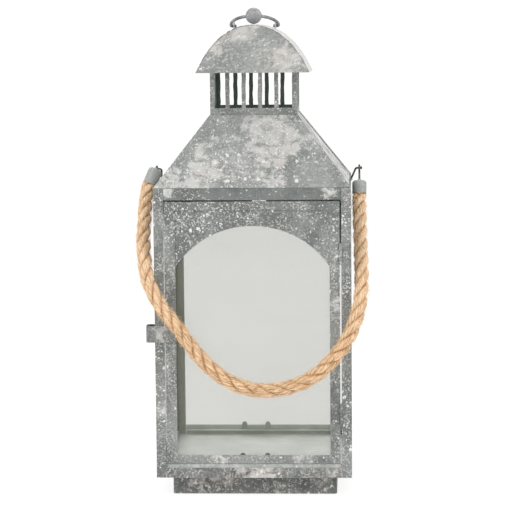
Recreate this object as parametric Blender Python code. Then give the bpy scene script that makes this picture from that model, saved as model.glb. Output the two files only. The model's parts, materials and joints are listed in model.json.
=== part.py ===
"""A hurricane candle lantern: a square zinc-sheet body with glazed sides, a
glazed arched door, a hip roof with a barred vent and a barrel cap, a swinging
rope handle, and a finial ring with a ball.

Metres, +Z up, the door faces -Y. The origin is the middle of the foot's
underside. Run it with: blender --background --python part.py
"""

import math

import bmesh
import bpy
from mathutils import Matrix, Vector

for old in list(bpy.data.objects):
    bpy.data.objects.remove(old)

# ---- driving dimensions --------------------------------------------------

GAP = 0.0003  # air left between pieces that touch
SHEET = 0.0015  # frame sheet
THIN = 0.0012  # roof, vent and cap sheet
FOIL = 0.0008  # arch panels, clips and hinge leaves
PANE = 0.002  # window glass

BODY = 0.240  # outside width and depth
BODY_Z0, BODY_Z1 = 0.024, 0.3808
FOOT = 0.203  # width of the foot
FOOT_FLANGE = 0.012
FOOT_ROUND = 0.004

FRONT_LEG = 0.012  # post width beside the door
SIDE_LEG = 0.0165  # width of the wide legs
TOP_RAIL = 0.0143  # height of the rails under the roof
APRON = 0.0126  # height of the rail under the door
LOW_RAIL = 0.0194  # height of the other bottom rails
LEDGE_Z = 0.0368  # underside of the ledge that carries the glass
LEDGE = 0.007
FLOOR_TOP = 0.031

DOOR_GAP = 0.0020  # round the door, but for its latch side
LATCH_GAP = 0.0008  # beside the door's latch, and under the door
THRESHOLD = 0.0030  # how far back the step under the door stands
DOOR_Z0 = 0.042
DOOR_DEPTH = 0.008
STILE = 0.0122
DOOR_RAIL = 0.0104
DOOR_ARCH_TOP, DOOR_ARCH_R = 0.3349, 0.1133
SIDE_ARCH_TOP, SIDE_ARCH_R = 0.341, 0.1262
CLIP_TIP, DOOR_CLIP_TIP = 0.0487, 0.0545
ARCH_FOOT = 0.0555  # how far an arch panel reaches below its arch's top

ROOF_Z1 = 0.4665
ROOF_TOP = 0.1094  # width at the vent
LAP = 0.008  # the seam flanges on the hips

VENT = 0.1076
VENT_Z1 = 0.5247
VENT_POST = 0.006
VENT_BAR = 0.0053
VENT_BARS = 4
VENT_SILL = 0.0082  # height of the vent's bottom rail
VENT_HEAD = 0.006  # height of the rail hidden in the cap
BAR_SHIFT = -0.0019  # the bars sit left of the middle, seen from outside

CAP = 0.142
CAP_SHY = 0.006  # from the cap's edge to its base plate
CAP_Z0 = 0.5187
CAP_RISE = 0.0592
CAP_FULLNESS = 0.25  # 0 is a parabola, and more makes fuller shoulders

RING_WIRE = 0.0020  # radius
RING_R = 0.0298  # of the half circle, to the wire's middle
RING_LEG = 0.0025
BALL_R = 0.0101
RING_AXIS_Z = 0.5758
LUG_X = 0.0259
LUG_HALF = 0.0045
LUG_BORE = 0.00235

PIN_R = 0.0010
KNUCKLE_R = 0.0022
HINGE_TALL = 0.025
HINGE_LEAF = 0.0107  # from the pin to the leaf's edge
HINGE_Z = {"lower": 0.0913, "upper": 0.2885}
KNUCKLE_SPLIT = (0.34, 0.66)  # where the door's knuckle starts and ends

STOP_X, STOP_WIDE = 0.0004, 0.0169
STOP_HANG = 0.006  # how far the stop tab hangs behind the door

LATCH_Z0, LATCH_Z1 = 0.1923, 0.2130
LATCH_REACH = 0.1308  # from the middle to the curl's outer face
LATCH_CURL = 0.0150  # front to back
LATCH_ROOT = 0.0090  # from the door's edge to the strip's soldered end
LATCH_BEND = 0.0035
LATCH_LIP = 0.0030  # radius of the curl's last turn

HANDLE_AXIS_Z = 0.3965
STAPLE_WIRE = 0.0013
STAPLE_BEND = 0.0025
STAPLE_HEAD = 0.0021
# Where each staple leaves the eave, bends and ends, across the lantern.
STAPLE_X = {"left": (-0.1202, -0.1202, -0.1279), "right": (0.1196, 0.1262, 0.1322)}
EYE_X = {"left": -0.1262, "right": 0.1305}
EYE_WIRE = 0.0013
EYE_R = 0.0032  # to the wire's middle
EYE_STEM = 0.0026  # straight part of an eye pin, over the ferrule
FERRULE_LONG = {"left": 0.0222, "right": 0.0165}
FERRULE_R = 0.0090
NECK_TALL = 0.0022  # the ferrule's stub, which holds the eye pin
NECK_R = 0.0020
SHOULDER = 0.0036  # radius of the ferrule's domed edge
SOCKET_R, SOCKET_DEEP = 0.00805, 0.005
ROPE_R = 0.00775
ROPE_IN = 0.0035  # how far the rope goes into a ferrule
ROPE_OUT = 0.0040  # how far it goes straight on, outside
ROPE_STEP = 0.6  # rope diameters between the tube's points

# Where each ferrule's top and mouth are, on the rope's line.
FERRULES = {
    "left": (Vector((-0.1262, -0.0130, 0.3962)), Vector((-0.1340, -0.0225, 0.3774))),
    "right": (Vector((0.1305, -0.0105, 0.3812)), Vector((0.1304, -0.0145, 0.3655))),
}

# The rope's route between the ferrules. It leans forward past the front
# corners, then sags in front of the door.
ROUTE = [
    (-0.1364, -0.0340, 0.3645),
    (-0.1366, -0.0490, 0.3515),
    (-0.1360, -0.0710, 0.3330),
    (-0.1355, -0.0880, 0.3150),
    (-0.1330, -0.1050, 0.2970),
    (-0.1297, -0.1205, 0.2795),
    (-0.1240, -0.1312, 0.2630),
    (-0.1155, -0.1370, 0.2480),
    (-0.1065, -0.1425, 0.2350),
    (-0.0955, -0.1475, 0.2220),
    (-0.0845, -0.1520, 0.2085),
    (-0.0730, -0.1570, 0.1940),
    (-0.0580, -0.1630, 0.1765),
    (-0.0380, -0.1680, 0.1600),
    (-0.0170, -0.1710, 0.1485),
    (0.0055, -0.1720, 0.1430),
    (0.0290, -0.1720, 0.1430),
    (0.0510, -0.1700, 0.1475),
    (0.0710, -0.1670, 0.1560),
    (0.0880, -0.1630, 0.1685),
    (0.1020, -0.1580, 0.1830),
    (0.1140, -0.1520, 0.1985),
    (0.1225, -0.1440, 0.2160),
    (0.1285, -0.1340, 0.2330),
    (0.1315, -0.1220, 0.2495),
    (0.1325, -0.1080, 0.2670),
    (0.1322, -0.0940, 0.2850),
    (0.1317, -0.0790, 0.3030),
    (0.1312, -0.0640, 0.3215),
    (0.1308, -0.0480, 0.3370),
    (0.1305, -0.0320, 0.3510),
]

# ---- worked out from them ------------------------------------------------

HALF = BODY / 2
INNER = HALF - SHEET  # inside faces of the frame
DOOR_HALF = HALF - FRONT_LEG - DOOR_GAP
DOOR_Z1 = BODY_Z1 - TOP_RAIL - DOOR_GAP
DOOR_LEFT = -HALF + FRONT_LEG + LATCH_GAP
HINGE_AXIS = Vector((HALF - FRONT_LEG - DOOR_GAP / 2, -HALF - GAP - KNUCKLE_R, 0))
RING_AXIS = Vector((0, 0, RING_AXIS_Z))
HANDLE_AXIS = Vector((0, 0, HANDLE_AXIS_Z))
BALL_Z = CAP_Z0 + CAP_RISE + BALL_R + GAP
RING_TALL = RING_LEG + RING_R
RING_LEAN = math.acos((BALL_Z - RING_AXIS_Z) / RING_TALL)
SIDES = {"front": 0, "right": 90, "back": 180, "left": 270}


# ---- materials -----------------------------------------------------------

def material(name, colour, roughness, metallic=0.0, alpha=1.0):
    made = bpy.data.materials.new(name)
    made.use_nodes = True
    shader = made.node_tree.nodes["Principled BSDF"]
    shader.inputs["Base Color"].default_value = (*colour, 1)
    shader.inputs["Roughness"].default_value = roughness
    shader.inputs["Metallic"].default_value = metallic
    shader.inputs["Alpha"].default_value = alpha
    return made


ZINC = material("zinc", (0.42, 0.43, 0.42), 0.6, 0.5)
DARK_ZINC = material("dark_zinc", (0.30, 0.32, 0.31), 0.6, 0.5)
WIRE = material("wire", (0.35, 0.36, 0.36), 0.4, 0.9)
GLASS = material("glass", (0.85, 0.92, 0.90), 0.05, 0.0, 0.3)
JUTE = material("jute", (0.72, 0.52, 0.34), 0.9)


# ---- modelling helpers ---------------------------------------------------

def joint_empty(name, place):
    """An empty on a joint's axis, for the pieces that move with it."""
    empty = bpy.data.objects.new(name, None)
    empty.location = place
    empty.empty_display_size = 0.02
    bpy.context.collection.objects.link(empty)
    return empty


DOOR = joint_empty("door_axis", HINGE_AXIS)
RING = joint_empty("ring_axis", RING_AXIS)
HANDLE = joint_empty("handle_axis", HANDLE_AXIS)


def add(name, bm, stuff, parent=None, smooth=False):
    """Makes a sub-part of a bmesh whose points are in the row's frame."""
    bmesh.ops.recalc_face_normals(bm, faces=bm.faces)
    mesh = bpy.data.meshes.new(name)
    bm.to_mesh(mesh)
    bm.free()
    mesh.materials.append(stuff)
    if smooth:
        mesh.shade_smooth()
        mesh.set_sharp_from_angle(angle=math.radians(35))
    made = bpy.data.objects.new(name, mesh)
    bpy.context.collection.objects.link(made)
    if parent:
        made.parent = parent
        made.matrix_parent_inverse = Matrix.Translation(-parent.location)
    return made


def cut(piece, bm):
    """Takes the shape in bm out of a piece."""
    cutter = add(piece.name + "_cutter", bm, ZINC, piece.parent)
    cutter.hide_render = True
    cutter.display_type = "WIRE"
    trim = piece.modifiers.new("cut", "BOOLEAN")
    trim.operation = "DIFFERENCE"
    trim.object = cutter


def block(low, high, bm=None):
    """A cuboid between two corners."""
    bm = bm or bmesh.new()
    size = Vector(high) - Vector(low)
    middle = (Vector(high) + Vector(low)) / 2
    place = Matrix.Translation(middle) @ Matrix.Diagonal((*size, 1))
    bmesh.ops.create_cube(bm, size=1, matrix=place)
    return bm


def prism(outline, low, high, place=Matrix()):
    """An outline in a plane, extruded from low to high along its normal.

    place carries the outline's own x, y and z to the row's frame.
    """
    bm = bmesh.new()
    base = bm.faces.new([bm.verts.new((x, y, low)) for x, y in outline])
    new = bmesh.ops.extrude_face_region(bm, geom=[base])["geom"]
    top = [v for v in new if isinstance(v, bmesh.types.BMVert)]
    bmesh.ops.translate(bm, vec=(0, 0, high - low), verts=top)
    bmesh.ops.transform(bm, matrix=place, verts=bm.verts)
    return bm


def loft(bottom, top):
    """A solid between two outlines with the same number of 3-D points."""
    bm = bmesh.new()
    low = [bm.verts.new(p) for p in bottom]
    high = [bm.verts.new(p) for p in top]
    bm.faces.new(low)
    bm.faces.new(high)
    for i in range(len(low)):
        j = (i + 1) % len(low)
        bm.faces.new((low[i], low[j], high[j], high[i]))
    return bm


def turned(profile, steps=20, place=Matrix()):
    """A solid of revolution about z from a closed (radius, z) profile.

    A point with radius 0 becomes one pole.
    """
    bm = bmesh.new()
    rings = []
    for radius, z in profile:
        if radius == 0:
            rings.append([bm.verts.new(place @ Vector((0, 0, z)))] * steps)
            continue
        ring = []
        for k in range(steps):
            turn = 2 * math.pi * k / steps
            point = Vector((radius * math.cos(turn), radius * math.sin(turn), z))
            ring.append(bm.verts.new(place @ point))
        rings.append(ring)
    closed = profile[0][0] > 0
    for i in range(len(rings) if closed else len(rings) - 1):
        a, b = rings[i], rings[(i + 1) % len(rings)]
        for k in range(steps):
            n = (k + 1) % steps
            corners = [a[k], a[n], b[n], b[k]]
            bm.faces.new(list(dict.fromkeys(corners)))
    return bm


def wire(points, radius, steps=10):
    """A round bar along a line of points, with flat ends.

    radius is one number, or a list with one for each point.
    """
    bm = bmesh.new()
    count = len(points)
    radii = radius if isinstance(radius, list) else [radius] * count
    rings = []
    across = None
    for i, point in enumerate(points):
        along = (points[min(i + 1, count - 1)] - points[max(i - 1, 0)]).normalized()
        if across is None:
            across = along.orthogonal()
        across = (across - along * across.dot(along)).normalized()
        up = along.cross(across)
        ring = []
        for k in range(steps):
            turn = 2 * math.pi * k / steps
            out = across * math.cos(turn) + up * math.sin(turn)
            ring.append(bm.verts.new(point + out * radii[i]))
        rings.append(ring)
    for a, b in zip(rings, rings[1:]):
        for k in range(steps):
            n = (k + 1) % steps
            bm.faces.new((a[k], a[n], b[n], b[k]))
    bm.faces.new(rings[0])
    bm.faces.new(rings[-1])
    return bm


def rounded(corners, radius, steps=5):
    """A line through some corners, each one rounded."""
    line = [corners[0]]
    for before, corner, after in zip(corners, corners[1:], corners[2:]):
        back = (before - corner).normalized()
        ahead = (after - corner).normalized()
        half = back.angle(ahead) / 2
        centre = corner + (back + ahead).normalized() * radius / math.sin(half)
        start = corner + back * radius / math.tan(half) - centre
        end = corner + ahead * radius / math.tan(half) - centre
        for k in range(steps + 1):
            line.append(centre + start.slerp(end, k / steps) * radius)
    line.append(corners[-1])
    return line


def arc(centre, radius, start, end, steps):
    """Points of an arc in a plane, both ends included, in degrees."""
    points = []
    for k in range(steps + 1):
        turn = math.radians(start + (end - start) * k / steps)
        points.append(
            (centre[0] + radius * math.cos(turn), centre[1] + radius * math.sin(turn))
        )
    return points


def turn_to(side):
    """Carries the front's frame round to another side."""
    return Matrix.Rotation(math.radians(SIDES[side]), 4, "Z")


def upright(side, distance=0.0):
    """Stands an outline (across, up) on a side, its normal pointing outwards.

    An outline's z of 0 lies at the given distance from the middle.
    """
    stand = Matrix(((1, 0, 0, 0), (0, 0, -1, 0), (0, 1, 0, 0), (0, 0, 0, 1)))
    return turn_to(side) @ Matrix.Translation((0, -distance, 0)) @ stand


# Lays an outline of (distance from the middle, height) on the front's
# cross-section, so that a prism of it runs along the front from left to right.
ALONG = Matrix(((0, 0, 1, 0), (-1, 0, 0, 0), (0, 1, 0, 0), (0, 0, 0, 1)))


def moved(bm, place):
    bmesh.ops.transform(bm, matrix=place, verts=bm.verts)
    return bm


# ---- foot, floor and frame -----------------------------------------------

def rounded_square(width, radius, steps=4):
    points = []
    reach = width / 2 - radius
    for quarter in range(4):
        sx, sy = ((1, 1), (-1, 1), (-1, -1), (1, -1))[quarter]
        start = 90 * quarter
        points += arc((sx * reach, sy * reach), radius, start, start + 90, steps)
    return points


def base_plinth():
    """A rounded tray foot: walls up to the floor, and a flange to stand on."""
    top = FLOOR_TOP - SHEET - GAP
    foot = add("base_plinth", prism(rounded_square(FOOT, FOOT_ROUND), 0, top), DARK_ZINC)
    inside = rounded_square(FOOT - 2 * SHEET, FOOT_ROUND - SHEET)
    hole = rounded_square(FOOT - 2 * FOOT_FLANGE, FOOT_ROUND)
    cutter = prism(inside, SHEET, top + SHEET)
    cut(foot, cutter)
    through = prism(hole, -SHEET, 2 * SHEET)
    cut(foot, through)


def floor_plate():
    reach = INNER - GAP
    low = FLOOR_TOP - SHEET
    add("floor_plate", block((-reach, -reach, low), (reach, reach, FLOOR_TOP)), ZINC)


def corner_posts():
    """Angles with a narrow and a wide leg. The narrow ones flank the door."""
    for name, sx, sy, leg_x in (
        ("front_left", -1, -1, FRONT_LEG),
        ("front_right", 1, -1, FRONT_LEG),
        ("back_left", -1, 1, SIDE_LEG),
        ("back_right", 1, 1, FRONT_LEG),
    ):
        outline = [
            (HALF, HALF),
            (HALF - leg_x, HALF),
            (HALF - leg_x, INNER),
            (INNER, INNER),
            (INNER, HALF - SIDE_LEG),
            (HALF, HALF - SIDE_LEG),
        ]
        outline = [(sx * x, sy * y) for x, y in outline]
        add("post_" + name, prism(outline, BODY_Z0, BODY_Z1), ZINC)


def apron_profile():
    """The apron steps back and up into a threshold, close under the door."""
    step = BODY_Z0 + APRON
    top = DOOR_Z0 - LATCH_GAP
    back = HALF - THRESHOLD
    return [
        (HALF, BODY_Z0),
        (HALF, step),
        (back, step),
        (back, top),
        (back - SHEET, top),
        (back - SHEET, step - SHEET),
        (INNER, step - SHEET),
        (INNER, BODY_Z0),
    ]


def rails():
    """A strip between the posts at the top and bottom of each side."""
    for side, (left_leg, right_leg) in {
        "front": (FRONT_LEG, FRONT_LEG),
        "right": (SIDE_LEG, SIDE_LEG),
        "back": (FRONT_LEG, SIDE_LEG),
        "left": (SIDE_LEG, SIDE_LEG),
    }.items():
        left, right = left_leg + GAP - HALF, HALF - right_leg - GAP
        top = block((left, -HALF, BODY_Z1 - TOP_RAIL), (right, -INNER, BODY_Z1))
        add("top_rail_" + side, moved(top, turn_to(side)), ZINC)
        if side == "front":
            add("apron_rail_front", prism(apron_profile(), left, right, ALONG), ZINC)
            continue
        profile = [
            (HALF, BODY_Z0),
            (HALF, BODY_Z0 + LOW_RAIL),
            (INNER, BODY_Z0 + LOW_RAIL),
            (INNER, LEDGE_Z + THIN),
            (INNER - LEDGE, LEDGE_Z + THIN),
            (INNER - LEDGE, LEDGE_Z),
            (INNER, LEDGE_Z),
            (INNER, BODY_Z0),
        ]
        low = prism(profile, left, right, turn_to(side) @ ALONG)
        add("bottom_rail_" + side, low, ZINC)


# ---- windows -------------------------------------------------------------

ARCH_BACK = INNER - GAP  # outer face of the fixed arch panels
PANE_BACK = ARCH_BACK - FOIL - GAP  # outer face of the fixed panes
PANE_HALF = PANE_BACK - PANE - 2 * GAP


def arch_outline(half, top, arch_top, radius):
    """A panel's outline: a rectangle over a segmental arch."""
    foot = arch_top - ARCH_FOOT
    middle = arch_top - radius
    swing = math.degrees(math.asin((foot - middle) / radius))
    curve = arc((0, middle), radius, swing, 180 - swing, 28)
    return [(-half, foot), (-half, top), (half, top), (half, foot)] + curve


def glass_clip(name, middle, foot, tip, inner, side, parent=None):
    """A round-topped tab that stands behind a pane and holds it."""
    half = 0.0033
    outline = [(middle - half, foot), (middle + half, foot)]
    outline += arc((middle, tip - half), half, 0, 180, 8)
    add(name, prism(outline, inner - FOIL, inner, upright(side)), DARK_ZINC, parent)


def fixed_windows():
    sill = LEDGE_Z + THIN + GAP
    for side in ("back", "left", "right"):
        outline = arch_outline(PANE_HALF, BODY_Z1 - GAP, SIDE_ARCH_TOP, SIDE_ARCH_R)
        panel = prism(outline, ARCH_BACK - FOIL, ARCH_BACK, upright(side))
        add("arch_panel_" + side, panel, ZINC)

        low = (-PANE_HALF, -PANE_BACK, sill)
        high = (PANE_HALF, -PANE_BACK + PANE, BODY_Z1 - TOP_RAIL / 2)
        add("glass_" + side, moved(block(low, high), turn_to(side)), GLASS)

    # The back's two clips aren't quite even. A side's one is in its middle.
    inner = PANE_BACK - PANE - GAP
    for name, side, middle in (
        ("back_left", "back", 0.0238),
        ("back_right", "back", -0.0072),
        ("left", "left", 0),
        ("right", "right", 0),
    ):
        glass_clip("glass_clip_" + name, middle, sill, CLIP_TIP, inner, side)


# ---- door ----------------------------------------------------------------

DOOR_ARCH = HALF - THIN - GAP  # outer face of the door's arch panel
DOOR_PANE = DOOR_ARCH - FOIL - GAP
DOOR_INNER = DOOR_HALF - THIN - GAP


def door_frame():
    """A flat frame with its outer edge folded back all round."""
    back = -HALF + DOOR_DEPTH
    frame = add(
        "door_frame",
        block((DOOR_LEFT, -HALF, DOOR_Z0), (DOOR_HALF, back, DOOR_Z1)),
        ZINC,
        DOOR,
    )
    tray = block(
        (DOOR_LEFT + THIN, -HALF + THIN, DOOR_Z0 + THIN),
        (DOOR_HALF - THIN, back + THIN, DOOR_Z1 - THIN),
    )
    cut(frame, tray)
    opening = block(
        (-DOOR_HALF + STILE, -HALF - THIN, DOOR_Z0 + DOOR_RAIL),
        (DOOR_HALF - STILE, -HALF + 2 * THIN, DOOR_Z1 - DOOR_RAIL),
    )
    cut(frame, opening)


def door_window():
    top = DOOR_Z1 - THIN - GAP
    outline = arch_outline(DOOR_INNER, top, DOOR_ARCH_TOP, DOOR_ARCH_R)
    panel = prism(outline, DOOR_ARCH - FOIL, DOOR_ARCH, upright("front"))
    add("door_arch_panel", panel, ZINC, DOOR)

    sill = DOOR_Z0 + THIN + GAP
    pane = block((-DOOR_INNER, -DOOR_PANE, sill), (DOOR_INNER, -DOOR_PANE + PANE, top))
    add("door_glass", pane, GLASS, DOOR)

    inner = DOOR_PANE - PANE - GAP
    for name, middle in (("left", -0.0139), ("right", 0.0165)):
        name = "door_glass_clip_" + name
        glass_clip(name, middle, sill, DOOR_CLIP_TIP, inner, "front", DOOR)


def latch_strip():
    """A strip soldered to the stile, its free end curled round the post."""
    face = -HALF - GAP
    half = THIN / 2
    reach = LATCH_REACH - half
    front = face - half
    bend, lip = LATCH_BEND, LATCH_LIP
    back = front + LATCH_CURL
    line = [(-DOOR_HALF + LATCH_ROOT, front)]
    line += arc((-reach + bend, front + bend), bend, -90, -180, 6)
    line += arc((-reach + bend, back - bend), bend, 180, 90, 6)
    line += arc((-HALF - 1.4 * lip, back - lip), lip, 90, 15, 4)
    outer, inner = [], []
    for i, (x, y) in enumerate(line):
        ahead = Vector(line[min(i + 1, len(line) - 1)])
        behind = Vector(line[max(i - 1, 0)])
        along = (ahead - behind).normalized()
        side = Vector((-along.y, along.x)) * half
        outer.append((x + side.x, y + side.y))
        inner.append((x - side.x, y - side.y))
    strip = prism(outer + inner[::-1], LATCH_Z0, LATCH_Z1)
    add("latch_strip", strip, ZINC, DOOR)


def hinge_leaf(name, way, foot, spans, parent=None):
    """A strip rolled round the pin, with its knuckles over the given spans.

    way is 1 for a leaf that lies to the right of the pin, -1 for the left.
    """
    roll = arc((0, 0), KNUCKLE_R, 90, 385, 18)
    roll += arc((0, 0), KNUCKLE_R - FOIL, 385, 90, 18)
    outline = [(HINGE_LEAF, KNUCKLE_R)] + roll + [(HINGE_LEAF, KNUCKLE_R - FOIL)]
    place = Matrix.Translation(HINGE_AXIS) @ Matrix.Diagonal((way, 1, 1, 1))
    leaf = add(name, prism(outline, foot, foot + HINGE_TALL, place), ZINC, parent)
    reach = KNUCKLE_R + GAP
    for low, high in spans:
        cutter = block(
            (HINGE_AXIS.x - reach, HINGE_AXIS.y - reach, foot + low * HINGE_TALL - GAP / 2),
            (HINGE_AXIS.x + reach, HINGE_AXIS.y + reach, foot + high * HINGE_TALL + GAP / 2),
        )
        cut(leaf, cutter)


def hinge(name, foot):
    """The post's knuckles are above and below the door's, all on one pin."""
    low, high = KNUCKLE_SPLIT
    hinge_leaf(f"hinge_{name}_post_leaf", 1, foot, [(low, high)])
    hinge_leaf(f"hinge_{name}_door_leaf", -1, foot, [(-0.1, low), (high, 1.1)], DOOR)
    over = 0.0006
    ends = [HINGE_AXIS + Vector((0, 0, z)) for z in (foot - over, foot + HINGE_TALL + over)]
    add(f"hinge_{name}_pin", wire(ends, PIN_R, 12), WIRE)


def door_stop():
    """A small bent tab under the top rail that stops the door from behind."""
    low, high = DOOR_Z1 + GAP, BODY_Z1 - TOP_RAIL - GAP
    front, back = HALF - GAP, HALF - DOOR_DEPTH - GAP
    outline = [
        (front, low),
        (front, high),
        (back - FOIL, high),
        (back - FOIL, low - STOP_HANG),
        (back, low - STOP_HANG),
        (back, low),
    ]
    tab = prism(outline, STOP_X, STOP_X + STOP_WIDE, ALONG)
    add("door_stop_tab", tab, ZINC)


# ---- roof, vent and cap --------------------------------------------------

def roof():
    """Front and back panels whose flanges lap over the two side panels."""
    low_z, high_z = BODY_Z1 + GAP, ROOF_Z1
    rise, run = high_z - low_z, HALF - ROOF_TOP / 2
    level = THIN * math.hypot(rise, run) / rise  # the sheet's thickness, level
    step = GAP * math.hypot(rise, run) / rise

    def front_ring(half, z):
        return [
            (-half, -half + LAP, z),
            (-half, -half, z),
            (half, -half, z),
            (half, -half + LAP, z),
            (half - level, -half + LAP, z),
            (half - level, -half + level, z),
            (-half + level, -half + level, z),
            (-half + level, -half + LAP, z),
        ]

    def side_ring(half, z):
        outer = half - level - step
        end = half - level - step
        return [
            (-end, -outer, z),
            (end, -outer, z),
            (end, -outer + level, z),
            (-end, -outer + level, z),
        ]

    for side in SIDES:
        ring = front_ring if side in ("front", "back") else side_ring
        panel = loft(ring(HALF, low_z), ring(ROOF_TOP / 2, high_z))
        add("roof_panel_" + side, moved(panel, turn_to(side)), ZINC)


def vent():
    """Four barred walls, the side ones between the front and back ones."""
    half = VENT / 2
    low, high = ROOF_Z1 + GAP, VENT_Z1
    for side in SIDES:
        reach = half if side in ("front", "back") else half - THIN - GAP
        wall = block((-reach, -half, low), (reach, -half + THIN, high))
        wall = add("vent_wall_" + side, moved(wall, turn_to(side)), ZINC)
        clear = 2 * (half - VENT_POST)
        slot = (clear - VENT_BARS * VENT_BAR) / (VENT_BARS + 1)
        slots = bmesh.new()
        for k in range(VENT_BARS + 1):
            start = -clear / 2 + k * (slot + VENT_BAR)
            end = start + slot
            start += BAR_SHIFT if k else 0
            end += BAR_SHIFT if k < VENT_BARS else 0
            corner = (start, -half - THIN, low + VENT_SILL)
            block(corner, (end, -half + 2 * THIN, high - VENT_HEAD), slots)
        cut(wall, moved(slots, turn_to(side)))


def arch_height(u, rise):
    """The cap's arch: its height at u, which is 0 in the middle, 1 at a foot."""
    return CAP_Z0 + rise * (1 - u * u) * (1 + CAP_FULLNESS * u * u)


def cap_curve(half, rise, steps=32):
    """The cap's arch from one foot to the other, as (across, up)."""
    us = [1 - 2 * k / steps for k in range(steps + 1)]
    return [(half * u, arch_height(u, rise)) for u in us]


def cap():
    half = CAP / 2
    wall = 1.12 * THIN  # the slanting sheet's thickness, measured level
    outer = cap_curve(half, CAP_RISE)
    inner = cap_curve(half - wall, CAP_RISE - THIN)
    barrel = prism(outer + inner[::-1], -half, half, upright("front"))
    add("cap_barrel", barrel, ZINC)
    end = cap_curve(half - wall - GAP, CAP_RISE - THIN - GAP)
    for side in ("front", "back"):
        face = prism(end, half - THIN, half, upright(side))
        add("cap_face_" + side, face, ZINC)
    x, y = half - CAP_SHY, half - THIN - GAP
    low = VENT_Z1 + GAP
    add("cap_base_plate", block((-x, -y, low), (x, y, low + THIN)), ZINC)


# ---- finial ring ---------------------------------------------------------

def ring_lean():
    """Lays the upright ring forward onto the cap."""
    to_axis = Matrix.Translation(RING_AXIS)
    return to_axis @ Matrix.Rotation(RING_LEAN, 4, "X")


def ring_line():
    """The ring's wire in its own plane, from one pin over to the other."""
    bend = RING_LEG
    inner = LUG_X - 0.0023
    half = [(inner, 0.0), (RING_R - bend, 0.0)]
    half += arc((RING_R - bend, bend), bend, -90, 0, 5)[1:]
    top = arc((0, RING_LEG), RING_R, 0, 180, 32)[1:-1]
    mirror = [(-x, z) for x, z in reversed(half)]
    return [Vector((x, 0, z)) for x, z in half + top + mirror]


def finial_ring():
    place = ring_lean()
    line = [place @ p for p in ring_line()]
    add("top_ring", wire(line, RING_WIRE, 12), WIRE, RING, smooth=True)
    centre = Matrix.Translation(place @ Vector((0, 0, RING_TALL)))
    ball = bmesh.new()
    bmesh.ops.create_uvsphere(ball, u_segments=24, v_segments=16, radius=BALL_R, matrix=centre)
    ball = add("ring_ball", ball, WIRE, RING, smooth=True)
    third = len(line) // 3
    cut(ball, wire(line[third:-third], RING_WIRE + GAP, 12))


def ring_lugs():
    """Two upright ears on the cap that the ring's ends turn in."""
    foot = arch_height((LUG_X - FOIL) / (CAP / 2), CAP_RISE) + GAP
    outline = [(-LUG_HALF, foot), (LUG_HALF, foot)]
    outline += arc((0, RING_AXIS_Z), LUG_HALF, 0, 180, 10)
    for side, way in (("left", -1), ("right", 1)):
        middle = way * LUG_X
        plate = prism(outline, middle - FOIL, middle + FOIL, ALONG)
        lug = add("ring_lug_" + side, plate, WIRE)
        ends = [RING_AXIS + Vector((middle + step, 0, 0)) for step in (-2 * FOIL, 2 * FOIL)]
        cut(lug, wire(ends, LUG_BORE, 16))


# ---- rope handle ---------------------------------------------------------

def staples():
    """Wire hooks on the eaves. Their level, headed ends are the handle's axis."""
    lean = STAPLE_WIRE / 2  # the right one's sloping foot starts a little higher
    for side, (foot_x, knee_x, tip_x) in STAPLE_X.items():
        foot_z = BODY_Z1 + GAP + (lean if foot_x != knee_x else 0)
        foot = Vector((foot_x, 0, foot_z))
        knee = Vector((knee_x, 0, HANDLE_AXIS_Z))
        tip = Vector((tip_x, 0, HANDLE_AXIS_Z))
        line = rounded([foot, knee, tip], STAPLE_BEND)
        out = (tip - knee).normalized()
        radii = [STAPLE_WIRE] * len(line)
        for step, radius in ((0.0002, 1), (0.0011, 1), (0.0015, 0.6)):
            line.append(tip + out * step)
            radii.append(radius * STAPLE_HEAD)
        add("handle_staple_" + side, wire(line, radii), WIRE, smooth=True)


def ferrule(side, top, mouth):
    """A domed cup that holds an end of the rope, with a stub on top."""
    turn = (top - mouth).to_track_quat("Z", "Y").to_matrix().to_4x4()
    low = -FERRULE_LONG[side]
    profile = [(0, NECK_TALL), (NECK_R, NECK_TALL), (1.1 * NECK_R, NECK_TALL / 3), (2 * NECK_R, 0)]
    profile += arc((FERRULE_R - SHOULDER, -SHOULDER), SHOULDER, 90, 0, 6)
    profile += [
        (FERRULE_R, low),
        (SOCKET_R, low),
        (SOCKET_R, low + SOCKET_DEEP),
        (0, low + SOCKET_DEEP),
    ]
    cup = turned(profile, 28, Matrix.Translation(top) @ turn)
    add("ferrule_" + side, cup, ZINC, HANDLE, smooth=True)


def eye_pin(side, top, mouth):
    """A wire that stands on a ferrule and curls round its staple's level end."""
    up = (top - mouth).normalized()
    start = top + up * (NECK_TALL + GAP)
    knee = start + up * EYE_STEM
    pivot = Vector((EYE_X[side], 0, HANDLE_AXIS_Z))
    reach = knee - pivot
    far = math.hypot(reach.y, reach.z)
    touch = math.degrees(math.atan2(reach.z, reach.y) + math.acos(EYE_R / far))
    eye = [pivot + Vector((0, y, z)) for y, z in arc((0, 0), EYE_R, touch, touch + 295, 16)]
    neck = rounded([start, knee, eye[0]], EYE_STEM / 2)
    add("eye_pin_" + side, wire(neck + eye[1:], EYE_WIRE, 8), WIRE, HANDLE, smooth=True)


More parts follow.
